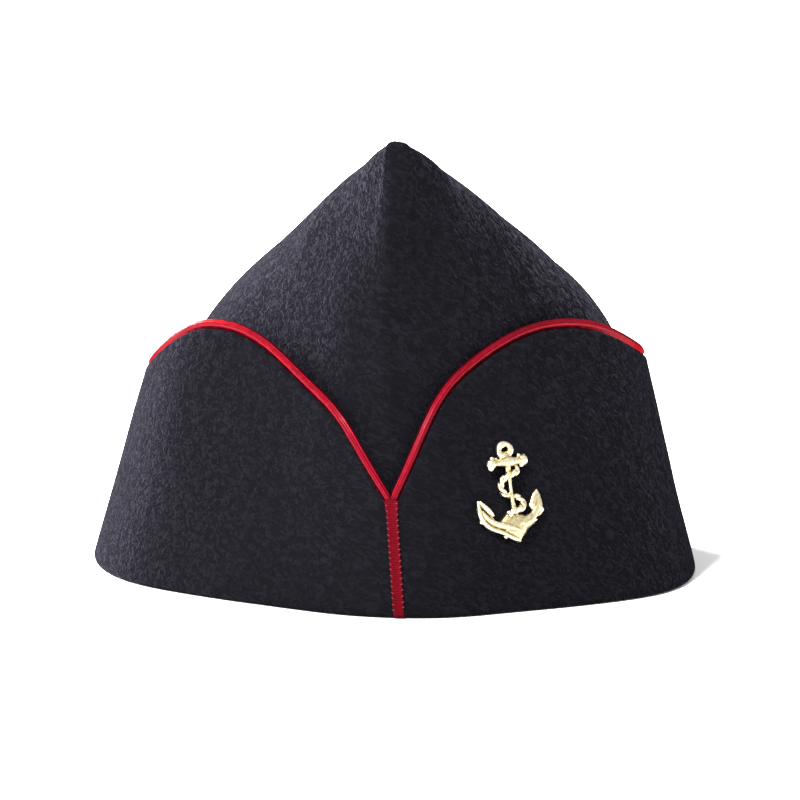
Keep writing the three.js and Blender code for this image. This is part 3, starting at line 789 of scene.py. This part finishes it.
def make_piping(word):
    side = SIDES[word]
    share, path = cord_path(side)
    tangent = unit(np.gradient(path, axis=0))
    _, _, out_x, out_y = rim_frame(share)
    outward = np.stack([side * out_x, out_y, lean_slope(share)], -1)
    outward = unit(outward - tangent * (outward * tangent).sum(-1, keepdims=True))
    up = np.cross(outward, tangent) * side
    angle = np.linspace(0, math.tau, CORD_SIDES, endpoint=False)
    fold = np.exp(-((angle - FOLD_ANGLE) / FOLD_WIDTH) ** 2)
    uneven = 1 + CORD_UNEVEN * ripple(share[:, None] * HALF_GIRTH, *CORD_RIPPLE)
    radius = CORD_RADIUS * (1 - FOLD_DEPTH * fold) * uneven
    from_below = (angle - 1.5 * math.pi + math.pi) % math.tau - math.pi
    across = radius * np.cos(angle)
    rise = radius * np.sin(angle) - FLANGE_DEPTH * np.exp(-(from_below / FLANGE_WIDTH) ** 2)
    rings = path[:, None] + outward[:, None] * across[..., None] + up[:, None] * rise[..., None]
    rings = kept_on_side(rings, side)
    mesh = loop_mesh(f"piping_{word}_cord", rings, CORD, -side)
    close_ends(mesh, [range(CORD_SIDES)], rings, side)
    add_piece(mesh, "red_cord", f"piping_{word}")


# ---- the red tape on the front seam ----
TAPE_HALF = 1.5
TAPE_FOOT = 0.35
TAPE_TOP = 31.8
TAPE_STEPS = 110
TAPE_OFF = 0.05  # how far it lies off the flaps
# It widens towards its top and narrows at the very end: how much, how far below the top, over what length.
FLARE, FLARE_FROM, FLARE_LENGTH = 0.3, 4.5, 4
NARROWING, NARROWING_LENGTH = 0.5, 0.5
TAPE_WOBBLE = 0.02  # of its edges, from stitch to stitch
WOBBLE_FROM = 0.8  # the part of the half width beyond which they wobble
# Round its section: the part of the half width, and the height off the flaps.
TAPE_SECTION = [
    (-1.0, 0.0), (-1.0, 0.35), (-0.96, 0.58), (-0.86, 0.72), (-0.7, 0.74), (-0.45, 0.70), (-0.2, 0.74),
    (0.0, 0.76), (0.2, 0.74), (0.45, 0.70), (0.7, 0.74), (0.86, 0.72), (0.96, 0.58), (1.0, 0.35),
    (1.0, 0.0), (0.5, 0.0), (0.0, 0.0), (-0.5, 0.0),
]
OUTER_FOLD_POINTS = 7  # the last points of RIM_FOLD, where it turns up the outer side
STITCH_PITCH = 1.55
STITCH_FOOT, STITCH_TOP = 2.2, TAPE_TOP - 1.5
STITCH_INSET, STITCH_OUT = 0.16, 0.50
STITCH_SLANT, SLANT_JITTER = 62, 9  # degrees
STITCH_JITTER = 0.12
STITCH_SIZE = (0.15, 0.22, 0.42)


def seam_y(z, x):
    """Where the flaps' outer face lies at the front, at a height and a little to one side."""
    share = np.abs(np.asarray(x, float)) / HALF_GIRTH + 0 * np.asarray(z, float)
    return flap_point(share, np.asarray(z, float), 0.0, 1)[..., 1]


def make_tape():
    heights = np.linspace(TAPE_FOOT, TAPE_TOP, TAPE_STEPS)
    fold_inset, fold_height = np.array(RIM_FOLD[-OUTER_FOLD_POINTS:]).T
    fold = np.interp(heights, fold_height, fold_inset, right=0)
    wobble = 1 + TAPE_WOBBLE * np.cos(math.tau * heights / STITCH_PITCH)
    flare = (1 + FLARE * ease((heights - TAPE_TOP + FLARE_FROM) / FLARE_LENGTH)
             - NARROWING * ease((heights - TAPE_TOP + NARROWING_LENGTH) / NARROWING_LENGTH))
    columns = []
    for across, out in TAPE_SECTION:
        x = across * TAPE_HALF * flare * (wobble if abs(across) > WOBBLE_FROM else 1)
        y = seam_y(heights, x) + fold + seam_dip(np.abs(x), heights) - TAPE_OFF - out
        centre = bow(0 * heights, y, heights)
        columns.append(np.stack([x + centre, y, heights], -1))
    rings = np.stack(columns, 1)
    mesh = loop_mesh("piping_front_tape", rings, TAPE, 1)
    close_ends(mesh, [range(len(TAPE_SECTION))], rings, 1)
    add_piece(mesh, "red_tape", "piping_front")


def make_stitches():
    """Small slanting stitches that hold the tape's two edges."""
    rng = np.random.default_rng(7)
    bm = bmesh.new()
    size = Matrix.Diagonal((*STITCH_SIZE, 1)) @ TO_METRES
    z = STITCH_FOOT
    while z < STITCH_TOP:
        for edge in (-1, 1):
            step = 0.5 * STITCH_PITCH if edge > 0 else 0
            height = z + step + rng.uniform(-STITCH_JITTER, STITCH_JITTER)
            x = edge * (TAPE_HALF - STITCH_INSET)
            y = float(seam_y(height, x)) - TAPE_OFF - STITCH_OUT
            centre = Vector((x + float(bow(0.0, y, height)), y, height)) * MM
            slant = STITCH_SLANT + rng.uniform(-SLANT_JITTER, SLANT_JITTER)
            turn = Matrix.Rotation(edge * math.radians(slant), 4, "Y")
            bmesh.ops.create_uvsphere(
                bm, u_segments=8, v_segments=6, radius=1, matrix=Matrix.Translation(centre) @ turn @ size)
        z += STITCH_PITCH
    mesh = bpy.data.meshes.new("piping_front_stitches")
    bm.to_mesh(mesh)
    bm.free()
    mesh.shade_smooth()
    mesh.materials.append(THREAD)
    add_piece(mesh, "red_tape")


# ---- the badge, in its own frame: x right, y up the shank, z out of the cloth ----
# Its foot's place on the flap, and how far beside and above it the tilt is measured.
BADGE_SHARE, BADGE_FOOT_Z, BADGE_SPREAD, BADGE_HEIGHT = 0.13, 18.5, 0.02, 28.2
VOXEL = 0.13
SOFTENING, SOFTENING_ROUNDS = 0.5, 3
# For each ring of a leaf's face: the part of the outline's size, and of the swelling.
PLATE_RINGS = [(1.0, 0.0), (0.82, 0.45), (0.5, 0.85)]
RING_TURNS, RING_SIDES = 40, 12
RING_CENTRE, RING_HALF_WIDTH, RING_HALF_HEIGHT, RING_SLANT = Vector((-0.6, 25.6, 1.2)), 1.95, 1.75, 0.12
RING_THICK, RING_UNEVEN = 0.92, 0.14
ROPE_STEPS, ROPE_SIDES = 110, 10
ROPE_LAY = 4.6  # the length of one turn of the two strands
STRAND_RADIUS, STRAND_OFF = 0.66, 0.36
# How hollow the surface is, which paints shade into the gilding's hollows: rounds of blurring, start,
# strength, and the painted shade that parts near the back add.
BLUR_ROUNDS, SPREAD_ROUNDS = 10, 3
RECESS_START, RECESS_STRENGTH = 0.35, 3.2
LOW_BELOW, LOW_RECESS = 0.9, 0.25


def badge_frame():
    """The matrix that lays the badge on the flap, with its shank up the cloth."""
    def point(share, z):
        return Vector(flap_point(np.array(share), np.array(z), 0.0, 1))

    foot = point(BADGE_SHARE, BADGE_FOOT_Z)
    up = (point(BADGE_SHARE, BADGE_FOOT_Z + BADGE_HEIGHT) - foot).normalized()
    outward = (point(BADGE_SHARE + BADGE_SPREAD, BADGE_FOOT_Z) - foot).cross(up).normalized()
    right = up.cross(outward)
    matrix = Matrix((right, up, outward)).transposed().to_4x4()
    matrix.translation = foot + outward * GAP
    return matrix


def bridge(bm, rings):
    """Joins each ring of vertices to the next one."""
    for ring, following in zip(rings, rings[1:]):
        for k, vertex in enumerate(ring):
            after = (k + 1) % len(ring)
            bm.faces.new((vertex, ring[after], following[after], following[k]))


def tube(bm, path, radii, sides, flatten=1.0):
    """A round bar through the points, with a radius for each."""
    path = [Vector(point) for point in path]
    rings = []
    for i, (point, radius) in enumerate(zip(path, radii)):
        ahead = path[min(i + 1, len(path) - 1)] - path[max(i - 1, 0)]
        ahead.normalize()
        aside = ahead.cross(Vector((0, 0, 1)))
        if aside.length < 1e-6:
            aside = Vector((1, 0, 0))
        aside.normalize()
        over = aside.cross(ahead)
        ring = []
        for k in range(sides):
            turn = math.tau * k / sides
            ring.append(bm.verts.new(
                point + aside * math.cos(turn) * radius + over * math.sin(turn) * radius * flatten))
        rings.append(ring)
    bridge(bm, rings)
    bm.faces.new(rings[0][::-1])
    bm.faces.new(rings[-1])


def run_along(path):
    """How far along the path each of its points lies."""
    return np.concatenate([[0], np.cumsum(np.linalg.norm(np.diff(path, axis=0), axis=1))])


def spline_points(points, count):
    """Evenly spread points on a smooth curve through rows of numbers."""
    points = np.asarray(points, float)
    chord = run_along(points[:, :3])
    at = np.linspace(0, chord[-1], count)
    return np.stack([smooth_through(chord, column)(at) for column in points.T], -1)


def plate(bm, outline, high, dome):
    """A leaf with that outline whose face swells towards its middle."""
    outline = np.asarray(outline, float)
    centre = outline.mean(0)
    levels = [(1.0, 0.0)] + [(size, high + swell * dome) for size, swell in PLATE_RINGS]
    rings = [[bm.verts.new((*(centre + (point - centre) * size), lift)) for point in outline]
             for size, lift in levels]
    top = bm.verts.new((*centre, high + dome))
    bridge(bm, rings)
    for k, vertex in enumerate(rings[-1]):
        bm.faces.new((vertex, rings[-1][(k + 1) % len(outline)], top))
    bm.faces.new(rings[0][::-1])


def bar(bm, points, count, sides=12, flatten=1.0):
    """A bar on a smooth curve through rows of x, y, z and radius."""
    path = spline_points(points, count)
    tube(bm, path[:, :3], path[:, 3], sides, flatten)


def blob(bm, centre, size):
    matrix = Matrix.Translation(centre) @ Matrix.Diagonal((*size, 1))
    bmesh.ops.create_icosphere(bm, subdivisions=3, radius=1, matrix=matrix)


def anchor_arms(bm):
    # crown: a broad wedge that comes to a point below and swells in the middle
    plate(bm, [
        (0.6, 0), (2.0, 1.5), (3.6, 3.3), (5.6, 4.4), (7.6, 5.7), (6.6, 7.6), (5.2, 7.7), (3.2, 7.3),
        (1.3, 7.9), (-0.6, 8.4), (-2.2, 8.4), (-3.6, 7.3), (-4.9, 6.1), (-5.4, 4.6), (-4.4, 3.2),
        (-2.6, 2.2), (-1.0, 1.0),
    ], 1.5, 1.3)
    # left arm: an upper and a lower ridge with a groove between, out to a fluke seen on edge
    bar(bm, [
        (-10.9, 9.4, 1.1, 0.55), (-9.4, 7.4, 1.2, 0.72), (-7.4, 5.9, 1.4, 0.85), (-4.6, 4.9, 1.7, 0.9),
        (-1.6, 4.1, 2.0, 0.85), (1.4, 3.0, 2.0, 0.6),
    ], 34)
    bar(bm, [
        (-11.6, 12.4, 1.0, 0.32), (-11.6, 10.2, 1.0, 0.6), (-11.2, 7.8, 1.0, 0.72), (-9.9, 5.7, 1.0, 0.7),
        (-7.6, 4.2, 1.1, 0.66), (-5.0, 3.2, 1.3, 0.66), (-2.6, 1.9, 1.5, 0.66), (-0.2, 0.8, 1.4, 0.6),
        (0.6, 0.5, 1.2, 0.4),
    ], 44)
    bar(bm, [
        (-11.4, 12.2, 1.5, 0.3), (-10.0, 10.6, 1.7, 0.62), (-8.6, 9.1, 1.7, 0.72), (-7.3, 7.9, 1.4, 0.42),
    ], 18)
    plate(bm, [
        (-11.6, 12.4), (-11.9, 9.6), (-11.2, 6.6), (-9.4, 5.4), (-6.6, 5.0), (-6.4, 7.0), (-7.4, 8.2),
        (-9.4, 10.3),
    ], 0.6, 0.1)
    blob(bm, (-11.1, 6.5, 0.8), (0.75, 0.65, 0.7))
    blob(bm, (-3.7, 1.9, 0.9), (0.7, 0.6, 0.7))
    # right arm and its broad fluke seen flat, with a raised middle line
    bar(bm, [
        (1.6, 4.2, 1.6, 1.3), (4.4, 5.6, 1.5, 1.25), (6.8, 7.5, 1.3, 1.15), (8.2, 9.6, 1.3, 0.95),
        (8.6, 12.0, 1.2, 0.6), (8.8, 13.6, 1.0, 0.35),
    ], 30, 14, 0.8)
    plate(bm, [
        (8.9, 14.3), (7.6, 13.2), (6.7, 11.9), (6.1, 10.6), (5.6, 9.9), (6.3, 8.6), (5.9, 7.4),
        (7.6, 6.4), (9.2, 7.0), (10.6, 8.1), (10.2, 9.2), (10.2, 11.0), (9.8, 12.8),
    ], 1.0, 0.8)


def anchor_stem(bm):
    # shank, slim at its waist
    bar(bm, [
        (0.2, 6.0, 1.6, 1.1), (-0.1, 9.4, 1.4, 0.78), (-0.2, 13, 1.3, 0.58), (-0.25, 17, 1.3, 0.6),
        (-0.3, 20.4, 1.3, 0.9), (-0.4, 23.6, 1.3, 1.0),
    ], 32)
    # stock: thick and uneven, with lobed knobs at its ends and a lump where the rope is made fast
    bar(bm, [
        (-5.6, 22.1, 1.2, 1.0), (-3.4, 22.2, 1.2, 1.0), (-1.6, 22.3, 1.4, 1.3), (0, 22.3, 1.5, 1.5),
        (1.6, 22.4, 1.4, 1.3), (3.4, 22.4, 1.2, 1.05), (5.4, 22.5, 1.2, 1.0),
    ], 28, 14)
    left_lobes = ((-5.7, 22.0, 1.5), (-5.2, 23.4, 0.75), (-5.9, 21.0, 0.95), (-3.9, 23.2, 0.6))
    right_lobes = ((5.2, 22.5, 1.55), (4.0, 23.9, 0.6), (5.6, 23.4, 0.85), (4.5, 21.3, 0.8))
    for x, y, radius in left_lobes + right_lobes:
        blob(bm, (x, y, 1.2), (radius, radius, radius * 0.85))


def anchor_ring(bm):
    """The ring, egg-shaped, with a bead of rope inside its lower half."""
    forward = Vector((0, 0, 1))
    rings = []
    for k in range(RING_TURNS):
        turn = math.tau * k / RING_TURNS
        out = Vector((math.cos(turn), math.sin(turn), 0))
        middle = (RING_CENTRE + Vector((RING_HALF_WIDTH * out.x, RING_HALF_HEIGHT * out.y, 0))
                  + Vector((RING_SLANT * out.y, 0, 0)))
        thick = RING_THICK + RING_UNEVEN * math.cos(3 * turn)
        rings.append([bm.verts.new(middle + (out * math.cos(angle) + forward * math.sin(angle)) * thick)
                      for angle in np.linspace(0, math.tau, RING_SIDES, endpoint=False)])
    bridge(bm, [*rings, rings[0]])
    bar(bm, [(-2.2, 25.0, 0.9, 0.5), (-0.8, 24.7, 1.0, 0.62), (0.9, 24.9, 0.9, 0.5)], 12)


# The rope's path round the shank.
ROPE = [
    (2.9, 20.6, 1.1), (2.2, 19.6, 1.7), (0.4, 18.9, 2.3), (-1.6, 18.3, 2.2), (-3.1, 17.2, 1.6),
    (-3.4, 15.6, 1.2), (-2.6, 14.0, 1.0), (-0.9, 13.1, 0.8), (1.0, 12.8, 0.9), (2.6, 11.8, 1.2),
    (3.0, 10.3, 1.8), (1.8, 9.3, 2.5), (0.0, 8.9, 2.8), (-1.6, 8.6, 2.6), (-2.6, 7.8, 2.2),
]


def rope_parts(bm):
    """Two strands laid round each other along the rope's path."""
    path = spline_points(ROPE, ROPE_STEPS)
    tangent = unit(np.gradient(path, axis=0))
    aside = unit(np.cross(tangent, [0, 0, 1.0]))
    over = np.cross(aside, tangent)
    run = run_along(path)
    for strand in range(2):
        angle = math.tau * run / ROPE_LAY + math.pi * strand
        centre = path + (aside * np.cos(angle)[:, None] + over * np.sin(angle)[:, None]) * STRAND_OFF
        tube(bm, centre, [STRAND_RADIUS] * len(centre), ROPE_SIDES)


def make_badge():
    """One casting: the overlapping parts are remeshed together, and the back is flattened."""
    bm = bmesh.new()
    anchor_arms(bm)
    anchor_stem(bm)
    anchor_ring(bm)
    rope_parts(bm)
    rough = bpy.data.meshes.new("badge_rough")
    bmesh.ops.recalc_face_normals(bm, faces=bm.faces)
    bm.to_mesh(rough)
    bm.free()
    casting = linked("badge_rough", rough)
    remesh = casting.modifiers.new("cast", "REMESH")
    remesh.mode = "VOXEL"
    remesh.voxel_size = VOXEL
    soften = casting.modifiers.new("soften", "SMOOTH")
    soften.factor = SOFTENING
    soften.iterations = SOFTENING_ROUNDS
    evaluated = casting.evaluated_get(bpy.context.evaluated_depsgraph_get())
    mesh = bpy.data.meshes.new_from_object(evaluated)
    bpy.data.objects.remove(casting)
    mesh.name = "badge_anchor_gilt"
    points = rows_of(mesh.vertices, "co", 3)
    points[:, 2] = np.maximum(points[:, 2], 0)
    mesh.vertices.foreach_set("co", points.ravel())
    mark_recesses(mesh, points)
    mesh.transform(TO_METRES @ badge_frame())
    mesh.materials.clear()
    mesh.materials.append(GILT)
    mesh.shade_smooth()
    add_piece(mesh, "gilt_metal", "badge_anchor")


def mark_recesses(mesh, points):
    """Stores how hollow the surface is at each vertex, for painted shade in the recesses and near the back.
    """
    edges = rows_of(mesh.edges, "vertices", 2, int)
    degree = np.bincount(edges.ravel(), minlength=len(points))[:, None]

    def blurred(values, rounds):
        for _ in range(rounds):
            total = np.zeros_like(values)
            np.add.at(total, edges[:, 0], values[edges[:, 1]])
            np.add.at(total, edges[:, 1], values[edges[:, 0]])
            values = total / np.maximum(degree, 1)
        return values

    normals = rows_of(mesh.vertices, "normal", 3)
    # painted shade in the hollows, from how far each vertex lies below its blurred neighbours
    hollow = ((blurred(points, BLUR_ROUNDS) - points) * normals).sum(1, keepdims=True)
    hollow = blurred(hollow, SPREAD_ROUNDS)
    # painted shade near the back, where the badge meets the cloth
    low = np.clip((LOW_BELOW - points[:, 2:]) / LOW_BELOW, 0, 1)
    value = np.clip(RECESS_START + hollow * RECESS_STRENGTH, 0, 1) + LOW_RECESS * low
    attribute = mesh.attributes.new("recess", "FLOAT", "POINT")
    attribute.data.foreach_set("value", np.clip(value, 0, 1).ravel())


for word in SIDES:
    make_crown(word)
    make_flap(word)
    make_piping(word)
make_tape()
make_stitches()
make_badge()

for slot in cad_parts["badge_pin"].material_slots:
    slot.material = STEEL

# ---- floor, light and camera, in metres ----
FLOOR_REACH = 14
FLOOR_DROP = 0.0002  # keeps the floor clear of the rim
FLOOR_CORNERS = [(-1, -1), (1, -1), (1, 1), (-1, 1)]
LIGHT_TARGET = (0, 0, 0.06)
LENS, SENSOR = 232.7, 36  # millimetres
ELEVATION, ROLL = math.radians(6.3), math.radians(1.3)
CAMERA_DISTANCE, CAMERA_BASE = 1.5, 0.065
CAMERA_AIM = (0.00046, 0, 0.0470)

floor_mesh = bpy.data.meshes.new("floor")
floor_mesh.from_pydata([(x * FLOOR_REACH, y * FLOOR_REACH, 0) for x, y in FLOOR_CORNERS], [], [(0, 1, 2, 3)])
floor = linked("floor", floor_mesh)
floor.location.z = -FLOOR_DROP
pale_floor, floor_tree, floor_shader = new_material("pale_floor")
fill(floor_tree, floor_shader.inputs, {
    "Base Color": (0.92, 0.92, 0.925, 1), "Roughness": 0.9, "Specular IOR Level": 0.1})
floor_mesh.materials.append(pale_floor)

world = bpy.data.worlds.new("studio")
world.use_nodes = True
fill(world.node_tree, world.node_tree.nodes["Background"].inputs, {"Color": (1, 1, 1, 1), "Strength": 1.0})
bpy.context.scene.world = world


def area_light(name, place, size, power):
    """A round soft light that shines on the cap."""
    data = bpy.data.lights.new(name, "AREA")
    data.shape = "DISK"
    data.size = size
    data.energy = power
    lamp = linked(name, data)
    lamp.location = place
    lamp.rotation_mode = "QUATERNION"
    lamp.rotation_quaternion = (Vector(LIGHT_TARGET) - Vector(place)).to_track_quat("-Z", "Y")


area_light("key", (-2.95, 3.12, 1.34), 2.0, 2300)
area_light("fill", (-1.0, -1.75, 2.25), 0.25, 175)
bpy.context.scene.view_settings.view_transform = "Standard"

camera_data = bpy.data.cameras.new("camera")
camera_data.sensor_width = SENSOR
camera_data.lens = LENS
camera_data.clip_start = 0.1
camera_data.clip_end = 60
camera = linked("camera", camera_data)
camera.location = (
    0, -CAMERA_DISTANCE * math.cos(ELEVATION), CAMERA_BASE + CAMERA_DISTANCE * math.sin(ELEVATION))
aim = Vector(CAMERA_AIM) - camera.location
camera.rotation_mode = "QUATERNION"
camera.rotation_quaternion = aim.to_track_quat("-Z", "Y") @ Matrix.Rotation(ROLL, 3, "Z").to_quaternion()
bpy.context.scene.camera = camera
